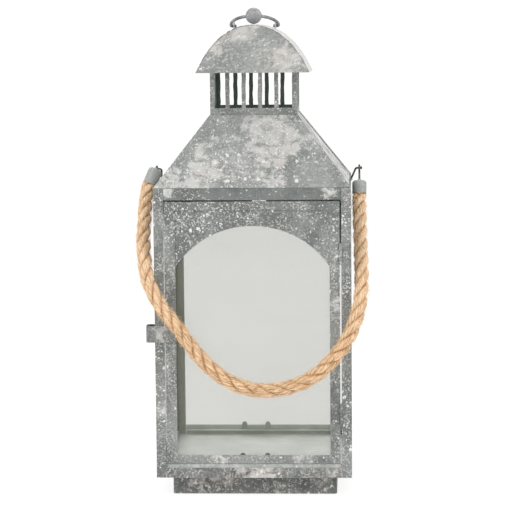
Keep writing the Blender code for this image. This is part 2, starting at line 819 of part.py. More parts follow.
def smooth_line(points, spacing):
    """Evenly spaced points on a Catmull-Rom curve through some points."""
    fine = []
    padded = [2 * points[0] - points[1]] + points + [2 * points[-1] - points[-2]]
    for a, b, c, d in zip(padded, padded[1:], padded[2:], padded[3:]):
        for k in range(12):
            t = k / 12
            fine.append(
                0.5
                * (
                    2 * b
                    + (c - a) * t
                    + (2 * a - 5 * b + 4 * c - d) * t * t
                    + (3 * b - a - 3 * c + d) * t ** 3
                )
            )
    fine.append(points[-1])
    along = [0.0]
    for a, b in zip(fine, fine[1:]):
        along.append(along[-1] + (b - a).length)
    count = round(along[-1] / spacing)
    spaced, i = [], 0
    for k in range(count + 1):
        want = along[-1] * k / count
        while i < len(along) - 2 and along[i + 1] < want:
            i += 1
        t = (want - along[i]) / (along[i + 1] - along[i])
        spaced.append(fine[i].lerp(fine[i + 1], t))
    return spaced


def rope_line():
    """The rope's line: from inside one ferrule to inside the other."""
    ends = {}
    for side, (top, mouth) in FERRULES.items():
        along = (mouth - top).normalized()
        rim = top + along * FERRULE_LONG[side]
        ends[side] = [rim - along * ROPE_IN, rim + along * ROPE_OUT]
    middle = [Vector(p) for p in ROUTE]
    return ends["left"] + middle + ends["right"][::-1]


def handle_rope():
    curve = bpy.data.curves.new("handle_rope", "CURVE")
    curve.dimensions = "3D"
    curve.bevel_depth = ROPE_R
    curve.bevel_resolution = 3
    curve.use_fill_caps = True
    line = smooth_line(rope_line(), 2 * ROPE_R * ROPE_STEP)
    spline = curve.splines.new("POLY")
    spline.points.add(len(line) - 1)
    for point, place in zip(spline.points, line):
        point.co = (*place, 1)
    curve.materials.append(JUTE)
    rope = bpy.data.objects.new("handle_rope", curve)
    bpy.context.collection.objects.link(rope)
    rope.parent = HANDLE
    rope.matrix_parent_inverse = Matrix.Translation(-HANDLE_AXIS)


# ---- the lantern ---------------------------------------------------------

base_plinth()
floor_plate()
corner_posts()
rails()
fixed_windows()
door_frame()
door_window()
latch_strip()
for hinge_name, hinge_foot in HINGE_Z.items():
    hinge(hinge_name, hinge_foot)
door_stop()
roof()
vent()
cap()
finial_ring()
ring_lugs()
staples()
for end, (ferrule_top, ferrule_mouth) in FERRULES.items():
    ferrule(end, ferrule_top, ferrule_mouth)
    eye_pin(end, ferrule_top, ferrule_mouth)
handle_rope()
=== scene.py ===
"""The hurricane lantern's looks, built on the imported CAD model.

The sheet metal keeps the CAD's shapes with softened folds. The rope, its
ferrules, the wire and the ring are made afresh in finer detail. Everything is
in metres, in the row's frame: +Z up, the door facing -Y.
"""

import json
import math
import random

import bmesh
import bpy
from mathutils import Matrix, Vector, noise

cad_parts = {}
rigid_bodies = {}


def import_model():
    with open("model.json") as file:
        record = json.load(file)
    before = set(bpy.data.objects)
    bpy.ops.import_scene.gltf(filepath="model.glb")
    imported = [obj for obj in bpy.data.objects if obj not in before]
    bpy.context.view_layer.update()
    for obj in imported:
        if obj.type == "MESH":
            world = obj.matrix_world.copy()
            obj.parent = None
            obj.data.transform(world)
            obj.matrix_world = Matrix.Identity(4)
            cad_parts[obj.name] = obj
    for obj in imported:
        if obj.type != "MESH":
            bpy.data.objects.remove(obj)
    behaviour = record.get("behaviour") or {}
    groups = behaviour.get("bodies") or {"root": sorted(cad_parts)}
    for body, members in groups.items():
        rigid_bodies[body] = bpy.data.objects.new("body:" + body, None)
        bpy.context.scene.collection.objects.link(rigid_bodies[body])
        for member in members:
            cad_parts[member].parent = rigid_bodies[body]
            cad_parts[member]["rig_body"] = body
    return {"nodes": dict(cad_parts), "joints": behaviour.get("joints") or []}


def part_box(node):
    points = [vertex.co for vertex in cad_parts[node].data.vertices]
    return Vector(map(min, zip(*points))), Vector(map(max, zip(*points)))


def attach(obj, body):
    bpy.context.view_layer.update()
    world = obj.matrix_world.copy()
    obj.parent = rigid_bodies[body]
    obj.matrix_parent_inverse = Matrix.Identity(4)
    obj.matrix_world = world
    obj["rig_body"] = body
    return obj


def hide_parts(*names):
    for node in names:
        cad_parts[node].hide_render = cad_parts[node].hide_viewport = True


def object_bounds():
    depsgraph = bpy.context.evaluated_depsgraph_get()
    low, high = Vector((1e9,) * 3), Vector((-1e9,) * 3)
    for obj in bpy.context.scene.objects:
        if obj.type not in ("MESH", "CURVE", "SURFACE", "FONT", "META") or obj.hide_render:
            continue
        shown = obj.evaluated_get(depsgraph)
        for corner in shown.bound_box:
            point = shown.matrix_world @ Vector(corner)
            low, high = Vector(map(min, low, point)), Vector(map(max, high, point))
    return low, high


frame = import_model()
CAD_BOX = [list(corner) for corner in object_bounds()]
NODES = frame["nodes"]
JOINTS = {joint["name"]: joint for joint in frame["joints"]}

# Sizes of the CAD model that the boxes of its nodes don't give.
VENT = 0.1076  # the vent's width
LEDGE = 0.0125  # height of the glass's ledge in a bottom rail
APRON = 0.0122  # height of the apron, under its threshold


# ---- camera --------------------------------------------------------------

def add_camera():
    """A long lens a little right of the middle, level with the cap."""
    distance = 2.6
    yaw, pitch, roll = math.radians(2.81), math.radians(6.4), math.radians(-0.52)
    target = Vector((-0.0031, 0, 0.2867))
    back = Vector((
        math.sin(yaw) * math.cos(pitch),
        -math.cos(yaw) * math.cos(pitch),
        math.sin(pitch),
    ))
    data = bpy.data.cameras.new("camera")
    data.lens = 144.5
    data.sensor_width = 36
    camera = bpy.data.objects.new("camera", data)
    turn = back.to_track_quat("Z", "Y").to_matrix().to_4x4()
    place = Matrix.Translation(target + back * distance)
    camera.matrix_world = place @ turn @ Matrix.Rotation(roll, 4, "Z")
    bpy.context.scene.collection.objects.link(camera)
    bpy.context.scene.camera = camera


# ---- material helpers ----------------------------------------------------

class Recipe:
    """A material, with short calls that add nodes to it.

    Each call returns the new node's first output, or the output asked for.
    """

    def __init__(self, name):
        self.material = bpy.data.materials.new(name)
        self.material.use_nodes = True
        self.tree = self.material.node_tree
        self.shader = self.tree.nodes["Principled BSDF"]

    def put(self, socket, value):
        if isinstance(value, bpy.types.NodeSocket):
            self.tree.links.new(value, socket)
        else:
            socket.default_value = value

    def add(self, kind, inputs, output=0, **settings):
        node = self.tree.nodes.new("ShaderNode" + kind)
        for key, value in settings.items():
            setattr(node, key, value)
        for key, value in inputs.items():
            self.put(node.inputs[key], value)
        return node.outputs[output]

    def maths(self, operation, a, b=0.0, clamp=False):
        inputs = {0: a, 1: b}
        return self.add("Math", inputs, operation=operation, use_clamp=clamp)

    def vector(self, operation, a, b, output=0):
        return self.add("VectorMath", {0: a, 1: b}, output, operation=operation)

    def shift(self, place, seed):
        """Moves a pattern, so that two pieces don't show the same part of it."""
        return self.vector("ADD", place, (seed * 1.37, seed * 0.71, seed * 2.13))

    def noise(self, place, scale, detail=3.0, roughness=0.55, distortion=0.0):
        inputs = {
            "Vector": place,
            "Scale": scale,
            "Detail": detail,
            "Roughness": roughness,
            "Distortion": distortion,
        }
        return self.add("TexNoise", inputs)

    def ramp(self, value, low, high, to_low=0.0, to_high=1.0):
        inputs = {
            "Value": value,
            "From Min": low,
            "From Max": high,
            "To Min": to_low,
            "To Max": to_high,
        }
        return self.add("MapRange", inputs, interpolation_type="SMOOTHSTEP")

    def mix(self, factor, a, b):
        inputs = {"Factor": factor, 6: a, 7: b}
        return self.add("Mix", inputs, 2, data_type="RGBA")

    def bump(self, height, strength, distance, under=None):
        """Relief from a height, on top of other relief if that is given."""
        inputs = {"Strength": strength, "Distance": distance, "Height": height}
        if under is not None:
            inputs["Normal"] = under
        return self.add("Bump", inputs)

    def finish(self, **inputs):
        for key, value in inputs.items():
            self.put(self.shader.inputs[key.replace("_", " ")], value)
        return self.material


def rgb(red, green, blue):
    """A colour given as it looks on a screen, 0 to 255, made linear."""
    def linear(level):
        level /= 255
        if level <= 0.04045:
            return level / 12.92
        return ((level + 0.055) / 1.055) ** 2.4
    return (linear(red), linear(green), linear(blue), 1)


def scaled(colour, factor):
    return tuple(level * factor for level in colour)


# ---- zinc ----------------------------------------------------------------

GRIME = (92, 97, 94)
# Near black, painted into the latch's curl as painted shade.
HOLLOW_SHADE = (8, 10, 9)
STRETCH = 1.6  # how long slanted specks are drawn
FOLD_REACH = 0.0012  # how far the rubbing, and its painted highlight, spreads from a fold
SPLASHES = (  # cells in a metre, share of the crowd, radius in a cell, strength
    (130, 0.28, 0.32, 1.0),
    (240, 0.60, 0.36, 0.9),
    (430, 1.00, 0.42, 0.7),
)


def spots(r, place, scale, density, size):
    """Round splashes: some cells of a Voronoi pattern hold one each."""
    cells = r.add("TexVoronoi", {"Vector": place, "Scale": scale}).node
    luck = r.add("SeparateColor", {0: cells.outputs["Color"]}).node
    radius = r.ramp(luck.outputs[0], 0.0, 1.0, size * 0.3, size)
    inside = r.maths("DIVIDE", cells.outputs["Distance"], radius)
    chosen = r.maths("LESS_THAN", luck.outputs[1], density)
    return r.maths("MULTIPLY", r.ramp(inside, 1.15, 0.8), chosen)


def splashed(r, place, crowd):
    """Splashes of three sizes, a little out of round."""
    wobble = r.add("TexNoise", {"Vector": place, "Scale": 240, "Detail": 3}, 1)
    wobble = r.add("VectorMath", {0: wobble, "Scale": 0.005}, operation="SCALE")
    wobbly = r.vector("ADD", place, wobble)
    found = 0.0
    for scale, share, size, strength in SPLASHES:
        some = spots(r, wobbly, scale, r.maths("MULTIPLY", crowd, share), size)
        found = r.maths("MAXIMUM", found, r.maths("MULTIPLY", some, strength))
    return found


def rubbed(r, place, wear_and_highlight):
    """Rubbing along folds and cut edges, in broken lengths: worn metal, and also a painted
    highlight.
    """
    soft_edge = r.add("Bevel", {"Radius": FOLD_REACH}, samples=4)
    flat = r.add("NewGeometry", {}, 1)
    fold = r.ramp(r.vector("DOT_PRODUCT", soft_edge, flat, "Value"), 0.99, 0.80)
    broken = r.ramp(r.noise(place, 110, 3, 0.6), 0.36, 0.56, 0.2, 1.0)
    return r.maths("MULTIPLY", r.maths("MULTIPLY", fold, broken), wear_and_highlight)


def oxide(r, place, middling, light):
    """The oxide's own colour, with duller parts and a faint warm blush."""
    colour = r.mix(r.ramp(middling, 0.38, 0.60), rgb(*scaled(light, 0.91)), rgb(*light))
    blush = r.ramp(r.noise(place, 24, 2), 0.50, 0.66, 0.0, 0.35)
    return r.mix(blush, colour, rgb(light[0], light[1] * 0.955, light[2] * 0.93))


def inward_shading_mask(r, place, normal):
    """1 on faces turned to the lantern's middle, which take the painted inside shading, and 0 on
    the others.
    """
    outward = r.vector("MULTIPLY", place, (1, 1, 0))
    outward = r.add("VectorMath", {0: outward}, operation="NORMALIZE")
    facing = r.vector("DOT_PRODUCT", outward, normal, "Value")
    return r.ramp(facing, -0.15, -0.45)


def in_hollow(r, place, centre, halves):
    """1 in an upright oval hollow, given its centre and its two half widths."""
    across = r.vector("SUBTRACT", place, (centre[0], centre[1], 0))
    across = r.vector("MULTIPLY", across, (1 / halves[0], 1 / halves[1], 0))
    across = r.add("VectorMath", {0: across}, 1, operation="LENGTH")
    return r.ramp(across, 1.12, 1.06)


def places(r, place, value, spread):
    """Raises or lowers a value round some (centre, radius, strength) places."""
    for centre, radius, strength in spread:
        away = r.vector("DISTANCE", place, centre, "Value")
        value = r.maths("ADD", value, r.ramp(away, radius, 0.0, 0.0, strength))
    return value


def zinc(name, seed, cover=0.0, splash=0.5, mottle=0.4, wear_and_highlight=0.5, dark=(104, 108, 106),
         middle=(136, 138, 135), light=(188, 187, 184), inside=(84, 96, 89),
         patches=(), showers=(), tones=(), slant=None, hollow=None):
    """Distressed zinc: grey sheet with clouds, splashes and specks of pale oxide.

    cover widens the clouds, splash crowds the splashes, mottle is how strong
    the fine specks are, and the wear setting how strong the rubbing along folds is:
    the rubbing is worn metal, and also a painted highlight.
    patches, showers and tones are places with more clouds, more splashes or a
    lighter ground. Faces turned to the lantern's middle are undistressed, in the
    colour inside: painted shade where it is darker than the sheet, and painted
    light where it is lighter. slant draws the specks out at this angle across the front.
    hollow is the centre and the two half widths of an upright hollow that is painted near black,
    as painted shade.
    """
    r = Recipe(name)
    coordinates = r.add("TexCoord", {}).node
    place = coordinates.outputs["Object"]
    moved = r.shift(place, seed)

    # Three grains of noise make the clouds and the specks.
    broad = r.noise(moved, 14, 4, 0.6, 0.6)
    if slant is not None:
        drawn = {"Vector": moved, "Rotation": (0, -slant, 0), "Scale": (STRETCH, 1, 1)}
        moved = r.add("Mapping", drawn, vector_type="TEXTURE")
    middling = r.noise(moved, 75, 6, 0.66, 1.0)
    fine = r.noise(moved, 420, 3, 0.7)
    field = r.maths("ADD", r.maths("MULTIPLY", broad, 0.6), cover)
    field = r.maths("ADD", field, r.maths("MULTIPLY", middling, 0.4))
    field = places(r, place, field, patches)
    cloud = r.ramp(field, 0.50, 0.60)
    cloud = r.maths("MULTIPLY", cloud, r.ramp(middling, 0.36, 0.56, 0.45, 1.0))
    thick = r.ramp(r.noise(moved, 48, 3, 0.6), 0.38, 0.62, 0.15, 1.0)
    specks = r.maths("MULTIPLY", r.ramp(fine, 0.48, 0.62), thick)
    specks = r.maths("MULTIPLY", specks, mottle)
    pale = r.maths("MAXIMUM", cloud, specks)
    # The rubbed folds are worn metal and also a painted highlight.
    pale = r.maths("MAXIMUM", pale, rubbed(r, moved, wear_and_highlight))

    # The splashes crowd where the clouds are.
    crowd = r.maths("MULTIPLY", r.ramp(field, 0.36, 0.60, 0.12, 0.8), splash)
    splashes = splashed(r, moved, places(r, place, crowd, showers))

    shades = places(r, place, r.ramp(r.noise(moved, 26, 5, 0.65), 0.36, 0.62), tones)
    colour = r.mix(shades, rgb(*dark), rgb(*middle))
    colour = r.mix(r.ramp(fine, 0.35, 0.6, 0.30, 0.0), colour, rgb(*GRIME))
    colour = r.mix(pale, colour, oxide(r, moved, middling, light))
    colour = r.mix(splashes, colour, rgb(*scaled(light, 1.13)))
    # The inside colour is painted shading on faces turned to the middle: painted shade where it
    # is darker than the sheet, painted light where it is lighter.
    inward_painted_shading = r.mix(shades, rgb(*inside), rgb(*scaled(inside, 1.15)))
    colour = r.mix(inward_shading_mask(r, place, coordinates.outputs["Normal"]), colour, inward_painted_shading)
    # Painted shade: the hollow is painted near black.
    if hollow:
        colour = r.mix(in_hollow(r, place, *hollow), colour, rgb(*HOLLOW_SHADE))

    # Oxide stands a little proud of the sheet, and is duller.
    marks = r.maths("MAXIMUM", pale, splashes)
    relief = r.bump(r.maths("ADD", r.maths("MULTIPLY", fine, 0.4), marks), 0.30, 0.0003)
    relief = r.bump(r.noise(moved, 26, 2), 0.20, 0.003, relief)
    rough = r.ramp(marks, 0.0, 1.0, 0.48, 0.70)
    return r.finish(Base_Color=colour, Roughness=rough, Metallic=0.12, Normal=relief)


# Settings for zinc(), by the name of the sheet that they are for.
ZINC = {
    "posts": dict(
        seed=1, cover=-0.08, splash=0.9, mottle=0.85, wear_and_highlight=0.8,
        dark=(98, 102, 100), middle=(134, 136, 133), light=(198, 197, 194),
        showers=[
            ((-0.115, -0.12, 0.360), 0.06, 0.35),
            ((0.115, -0.12, 0.330), 0.06, 0.40),
            ((0.115, -0.12, 0.120), 0.08, 0.25),
        ],
    ),
    "rails": dict(
        seed=2, cover=-0.15, mottle=0.3, dark=(88, 93, 91), middle=(112, 116, 114),
        patches=[
            ((0.095, -0.12, 0.376), 0.024, 0.30),
            ((-0.104, -0.12, 0.378), 0.014, 0.26),
        ],
        showers=[
            ((-0.080, -0.12, 0.374), 0.045, 0.60),
        ],
    ),
    # The bottom rails' inward faces are painted: a mid painted shade below the ledge, and near
    # white painted light above it.
    "sills": dict(seed=15, cover=-0.06, splash=0.45, mottle=0.3, inside=(128, 142, 135)),
    "ledges_painted_light": dict(seed=15, cover=-0.06, splash=0.45, mottle=0.3, inside=(196, 209, 203)),
    "door": dict(
        seed=3, cover=-0.08, splash=0.6, mottle=0.85, wear_and_highlight=0.55,
        dark=(98, 102, 100), middle=(142, 144, 141), light=(194, 193, 190),
        patches=[
            ((0.100, -0.12, 0.235), 0.060, 0.12),
            ((0.060, -0.12, 0.047), 0.050, 0.14),
            ((-0.050, -0.12, 0.047), 0.050, 0.10),
        ],
        showers=[
            ((-0.085, -0.12, 0.350), 0.095, 0.70),
            ((-0.010, -0.12, 0.355), 0.050, 0.30),
            ((0.101, -0.12, 0.260), 0.070, 0.50),
        ],
        tones=[
            ((0.000, -0.12, 0.352), 0.130, -0.85),
            ((0.000, -0.12, 0.047), 0.110, 0.50),
        ],
    ),
    "arches": dict(seed=4, cover=-0.10, mottle=0.3, wear_and_highlight=0.6),
    # Painted light: the roof's inward faces, such as the cut edges of its laps, are painted near
    # white.
    "roof": dict(
        seed=5, splash=0.9, mottle=0.55, dark=(118, 122, 120), middle=(146, 148, 145),
        light=(184, 183, 180), inside=(205, 206, 203),
        patches=[
            ((0.005, -0.085, 0.435), 0.080, 0.12),
            ((-0.080, -0.110, 0.392), 0.060, 0.10),
            ((0.030, -0.118, 0.386), 0.020, 0.12),
            ((0.066, -0.110, 0.395), 0.045, -0.08),
            ((-0.085, -0.095, 0.425), 0.030, -0.10),
        ],
        showers=[
            ((-0.070, -0.105, 0.400), 0.080, 0.45),
            ((0.010, -0.115, 0.388), 0.070, 0.35),
        ],
    ),
    "roof_sides": dict(seed=6, cover=0.08, splash=0.7, mottle=0.5, light=(204, 203, 200)),
    # Painted shade: the vent's inward faces are painted dark.
    "vent": dict(
        seed=7, cover=-0.04, splash=0.6, mottle=0.6, wear_and_highlight=0.6, inside=(74, 86, 79),
    ),
    "cap": dict(
        seed=8, cover=0.02, splash=0.6, mottle=0.8, slant=0.4,
        dark=(130, 133, 131), middle=(157, 158, 156), light=(190, 188, 184),
        patches=[
            ((0.030, -0.071, 0.534), 0.045, 0.14),
            ((-0.010, -0.071, 0.570), 0.026, 0.12),
        ],
        showers=[
            ((-0.045, -0.071, 0.540), 0.040, 0.30),
        ],
    ),
    "barrel": dict(seed=9, cover=0.14, splash=0.7, light=(210, 208, 205)),
    "foot": dict(
        seed=10, cover=-0.04, splash=0.8, mottle=0.7,
        dark=(68, 72, 69), middle=(96, 99, 95), light=(170, 166, 161),
    ),
    # Painted light: the apron's inward faces are painted pale.
    "apron": dict(
        seed=14, splash=0.9, mottle=0.9, dark=(86, 90, 87), middle=(122, 124, 121),
        light=(192, 188, 184), inside=(170, 180, 175),
    ),
    # Painted light: the threshold, in the recess under the door, is painted pale.
    "threshold": dict(
        seed=16, cover=0.05, splash=0.2, mottle=0.2,
        dark=(168, 174, 170), middle=(190, 194, 191), light=(204, 205, 203),
    ),
    "latch": dict(
        seed=11, cover=-0.10, mottle=0.8, light=(180, 179, 176),
        # Painted shade: the inside of the curl is painted near black.
        hollow=((-0.1250, -0.1134), (0.0046, 0.0069)),
    ),
    # Painted shade: the side of each cup that is turned to the lantern is painted darker.
    "ferrules": dict(
        seed=12, cover=-0.12, splash=0.1, mottle=0.1, wear_and_highlight=0.25,
        dark=(148, 151, 148), middle=(166, 168, 165), light=(186, 187, 183),
        inside=(140, 144, 140),
    ),
    # Painted shade: the ball's side turned to the middle is painted darker.
    "ball": dict(
        seed=13, splash=0.3, mottle=0.3, wear_and_highlight=0.2, dark=(126, 128, 130),
        middle=(150, 151, 154), light=(182, 182, 186), inside=(130, 132, 133),
    ),
}


def inner_shaded_zinc():
    """Undistressed sheet for what is inside the glass, painted darker as painted shade."""
    r = Recipe("inner_shaded_zinc")
    place = r.add("TexCoord", {}, 3)
    cloud = r.ramp(r.noise(place, 40, 5, 0.6), 0.35, 0.7)
    # Painted shade: a darker green-grey than the outside sheet.
    colour = r.mix(cloud, rgb(112, 124, 117), rgb(134, 145, 138))
    relief = r.bump(r.noise(place, 300), 0.2, 0.0003)
    return r.finish(Base_Color=colour, Roughness=0.55, Metallic=0.15, Normal=relief)


def floor_zinc():
    """The floor plate: pale sheet with faint brushing along X."""
    r = Recipe("floor_zinc")
    place = r.add("TexCoord", {}, 3)
    drawn = r.vector("MULTIPLY", place, (14, 120, 120))
    brushed = r.noise(drawn, 1.6, 6, 0.65, 0.3)
    cloud = r.noise(place, 26, 3, 0.6)
    mixed = r.maths("ADD", r.maths("MULTIPLY", brushed, 0.6), r.maths("MULTIPLY", cloud, 0.4))
    colour = r.mix(r.ramp(mixed, 0.34, 0.66), rgb(218, 224, 221), rgb(246, 249, 247))
    rough = r.ramp(cloud, 0.3, 0.7, 0.30, 0.45)
    relief = r.bump(brushed, 0.25, 0.0004)
    return r.finish(Base_Color=colour, Roughness=rough, Metallic=0.35, Normal=relief)


def wire_metal(name, dark, light):
    """Dull plated wire, with dark and rubbed places."""
    r = Recipe(name)
    place = r.add("TexCoord", {}, 3)
    cloud = r.ramp(r.noise(place, 190, 4, 0.6), 0.36, 0.66)
    colour = r.mix(cloud, rgb(*dark), rgb(*light))
    rough = r.ramp(cloud, 0.0, 1.0, 0.38, 0.55)
    relief = r.bump(r.noise(place, 900, 2), 0.25, 0.0001)
    return r.finish(Base_Color=colour, Roughness=rough, Metallic=0.55, Normal=relief)


FILM = (0.164, 0.186)  # how much the film on the glass hides, least and most


def window_glass():
    """Clear glass with a faint, smeared film, and more gloss at a low angle."""
    r = Recipe("window_glass")
    place = r.add("TexCoord", {}, 3)
    stretched = r.vector("MULTIPLY", place, (6, 6, 2.5))
    smear = r.ramp(r.noise(stretched, 1.0, 4, 0.5, 0.6), 0.35, 0.7)
    film = r.ramp(smear, 0.0, 1.0, *FILM)
    glance = r.add("LayerWeight", {"Blend": 0.35}, 1)
    glance = r.maths("MULTIPLY", r.maths("POWER", glance, 4.0), 0.6)
    alpha = r.maths("ADD", film, glance, clamp=True)
    colour = r.mix(smear, rgb(140, 141, 126), rgb(160, 161, 147))
    r.material.surface_render_method = "BLENDED"
    return r.finish(Base_Color=colour, Roughness=0.04, Alpha=alpha, IOR=1.45)


def jute():
    """Rope fibre. The UV map's u runs across the yarns and v along them.

    The attribute groove is 1 between two strands, where the colour is painted darker
    as painted shade. Higher up, towards its ends, the rope is painted paler, as painted light.
    """
    r = Recipe("jute_fibre")
    uv = r.add("TexCoord", {}, 2)
    place = r.add("TexCoord", {}, 3)
    hairs = r.noise(r.vector("MULTIPLY", uv, (95, 9, 1)), 1.0, 5, 0.75, 0.35)
    yarn = r.noise(r.vector("MULTIPLY", uv, (30, 2.6, 1)), 1.0, 3, 0.6, 0.4)
    patch = r.noise(place, 60, 3, 0.6)
    tint = r.maths("ADD", r.maths("MULTIPLY", hairs, 0.55), r.maths("MULTIPLY", yarn, 0.45))
    colour = r.mix(r.ramp(tint, 0.43, 0.56), rgb(158, 114, 70), rgb(240, 208, 168))
    colour = r.mix(r.ramp(patch, 0.45, 0.72, 0, 0.30), colour, rgb(222, 182, 138))
    # Painted light: the rope is painted paler higher up.
    height = r.add("SeparateXYZ", {0: place}, 2)
    colour = r.mix(r.ramp(height, 0.16, 0.30, 0.0, 0.30), colour, rgb(250, 222, 188))

    # Painted shade: the grooves between strands are painted darker, in broken lengths.
    groove = r.add("Attribute", {}, 2, attribute_name="groove")
    broken = r.ramp(r.noise(place, 130, 3, 0.6), 0.40, 0.60, 0.35, 0.95)
    shade = r.maths("MULTIPLY", r.ramp(groove, 0.05, 0.9), broken)
    colour = r.mix(shade, colour, rgb(152, 98, 48))
    relief = r.bump(hairs, 0.8, 0.0005, r.bump(yarn, 0.8, 0.0009))
    return r.finish(Base_Color=colour, Roughness=0.85, Normal=relief, Sheen_Weight=0.2)


def loose_fibre():
    """The single pale hairs that stand off the rope."""
    r = Recipe("loose_fibre")
    place = r.add("TexCoord", {}, 3)
    cloud = r.ramp(r.noise(place, 220, 2), 0.38, 0.62)
    colour = r.mix(cloud, rgb(206, 168, 124), rgb(240, 208, 168))
    return r.finish(Base_Color=colour, Roughness=0.8, Sheen_Weight=0.3)


def solder():
    """Dull, lumpy solder."""
    r = Recipe("solder")
    place = r.add("TexCoord", {}, 3)
    cloud = r.ramp(r.noise(place, 320, 3), 0.4, 0.6)
    colour = r.mix(cloud, rgb(126, 132, 129), rgb(176, 178, 174))
    relief = r.bump(r.noise(place, 700), 0.4, 0.0003)
    return r.finish(Base_Color=colour, Roughness=0.45, Metallic=0.4, Normal=relief)


def studio_floor():
    """A floor that glows a little, so that it stays white round the foot."""
    r = Recipe("studio_floor")
    place = r.add("TexCoord", {}, 3)
    soft = r.ramp(r.noise(place, 3, 2), 0.3, 0.7)
    colour = r.mix(soft, (0.24, 0.24, 0.24, 1), (0.26, 0.26, 0.26, 1))
    glow = {"Emission_Color": (1, 1, 1, 1), "Emission_Strength": 0.80}
    return r.finish(Base_Color=colour, Roughness=1.0, Specular_IOR_Level=0.0, **glow)


# ---- mesh helpers --------------------------------------------------------

CREASE = 32  # degrees between two faces that make a fold
LEVEL = 0.5  # degrees between two faces that are one
WELD = 0.000002  # how near two corners are that are one
# Widths of the rounded edges, from the thickest sheet to the smallest pieces.
FOLD, THIN_FOLD, SMALL_FOLD, CLIP_FOLD = 0.0004, 0.0003, 0.00025, 0.0002
BAR_LOW, BAR_HIGH = 0.17, 0.88  # where a vent bar waves, as shares of its wall
BAR_WAVE = 0.0009


def show(name, bm, stuff, body, cad=(), smooth=None):
    """Makes a piece of a bmesh, and ties it to a body and its CAD nodes."""
    bmesh.ops.recalc_face_normals(bm, faces=bm.faces)
    mesh = bpy.data.meshes.new(name)
    bm.to_mesh(mesh)
    bm.free()
    mesh.materials.append(stuff)
    if smooth is not None:
        mesh.shade_smooth()
        mesh.set_sharp_from_angle(angle=math.radians(smooth))
    piece = bpy.data.objects.new(name, mesh)
    bpy.context.scene.collection.objects.link(piece)
    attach(piece, body)
    if cad:
        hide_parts(*cad)
    return piece


def arc(centre, radius, start, end, steps):
    """Points of an arc in a plane, both ends included, in degrees."""
    points = []
    for k in range(steps + 1):
        turn = math.radians(start + (end - start) * k / steps)
        points.append((centre[0] + radius * math.cos(turn), centre[1] + radius * math.sin(turn)))
    return points


def turned(profile, steps, place):
    """A solid of revolution about z from a (radius, z) profile.

    It starts at a pole, where the radius is 0, and ends at one.
    """
    bm = bmesh.new()
    rings = []
    for radius, z in profile:
        if radius == 0:
            rings.append([bm.verts.new(place @ Vector((0, 0, z)))] * steps)
            continue
        ring = []
        for k in range(steps):
            turn = 2 * math.pi * k / steps
            point = Vector((radius * math.cos(turn), radius * math.sin(turn), z))
            ring.append(bm.verts.new(place @ point))
        rings.append(ring)
    for a, b in zip(rings, rings[1:]):
        for k in range(steps):
            n = (k + 1) % steps
            bm.faces.new(list(dict.fromkeys([a[k], a[n], b[n], b[k]])))
    return bm


def carried(points):
    """A frame (along, across, up) at each point, carried along without twist."""
    frames = []
    across = None
    for i in range(len(points)):
        behind, ahead = points[max(i - 1, 0)], points[min(i + 1, len(points) - 1)]
        along = (ahead - behind).normalized()
        if across is None:
            across = along.orthogonal()
        across = (across - along * across.dot(along)).normalized()
        frames.append((along, across, along.cross(across)))
    return frames


def wire(points, radii, steps):
    """A round bar along some points, with its ends rounded off a little."""
    bm = bmesh.new()
    frames = carried(points)
    rings = []
    for point, size, (along, across, up) in zip(points, radii, frames):
        ring = []
        for k in range(steps):
            turn = 2 * math.pi * k / steps
            out = across * math.cos(turn) + up * math.sin(turn)
            ring.append(bm.verts.new(point + out * size))
        rings.append(ring)
    for end, way in ((0, -1), (-1, 1)):
        along = frames[end][0] * way
        low = []
        for vert in rings[end]:
            out = vert.co - points[end]
            low.append(bm.verts.new(points[end] + out * 0.72 + along * radii[end] * 0.3))
        bm.faces.new(low)
        rings.insert(0 if end == 0 else len(rings), low)
    for a, b in zip(rings, rings[1:]):
        for k in range(steps):
            n = (k + 1) % steps
            bm.faces.new((a[k], a[n], b[n], b[k]))
    return bm


def rounded(corners, radius, steps=8):
    """A line through some corners, each one rounded."""
    line = [corners[0]]
    for before, corner, after in zip(corners, corners[1:], corners[2:]):
        back = (before - corner).normalized()
        ahead = (after - corner).normalized()
        half = back.angle(ahead) / 2
        centre = corner + (back + ahead).normalized() * radius / math.sin(half)
        start = corner + back * radius / math.tan(half) - centre
        end = corner + ahead * radius / math.tan(half) - centre
        for k in range(steps + 1):
            line.append(centre + start.slerp(end, k / steps) * radius)
    line.append(corners[-1])
    return line


def wave_bars(bm, wall):
    """Bends a vent wall's bars a little in their own plane, as if cut by hand."""
    low, high = wall
    tall = high.z - low.z
    along = Vector((1, 0, 0)) if high.x - low.x > high.y - low.y else Vector((0, 1, 0))
    edges = [e for e in bm.edges if abs(e.verts[0].co.z - e.verts[1].co.z) > tall / 2]
    bmesh.ops.subdivide_edges(bm, edges=edges, cuts=12)
    for vert in bm.verts:
        across = vert.co.dot(along)
        on_bar = abs(across) < 0.45 * VENT
        if on_bar and BAR_LOW < (vert.co.z - low.z) / tall < BAR_HIGH:
            wave = noise.noise(Vector((round(across, 3) * 900, vert.co.z * 95, low.y * 40)))
            vert.co += along * BAR_WAVE * wave


def relined(piece, stuff, low, high):
    """Gives the faces whose middles are between two corners another material."""
    piece.data.materials.append(stuff)
    for face in piece.data.polygons:
        if all(a <= c <= b for a, c, b in zip(low, face.center, high)):
            face.material_index = len(piece.data.materials) - 1


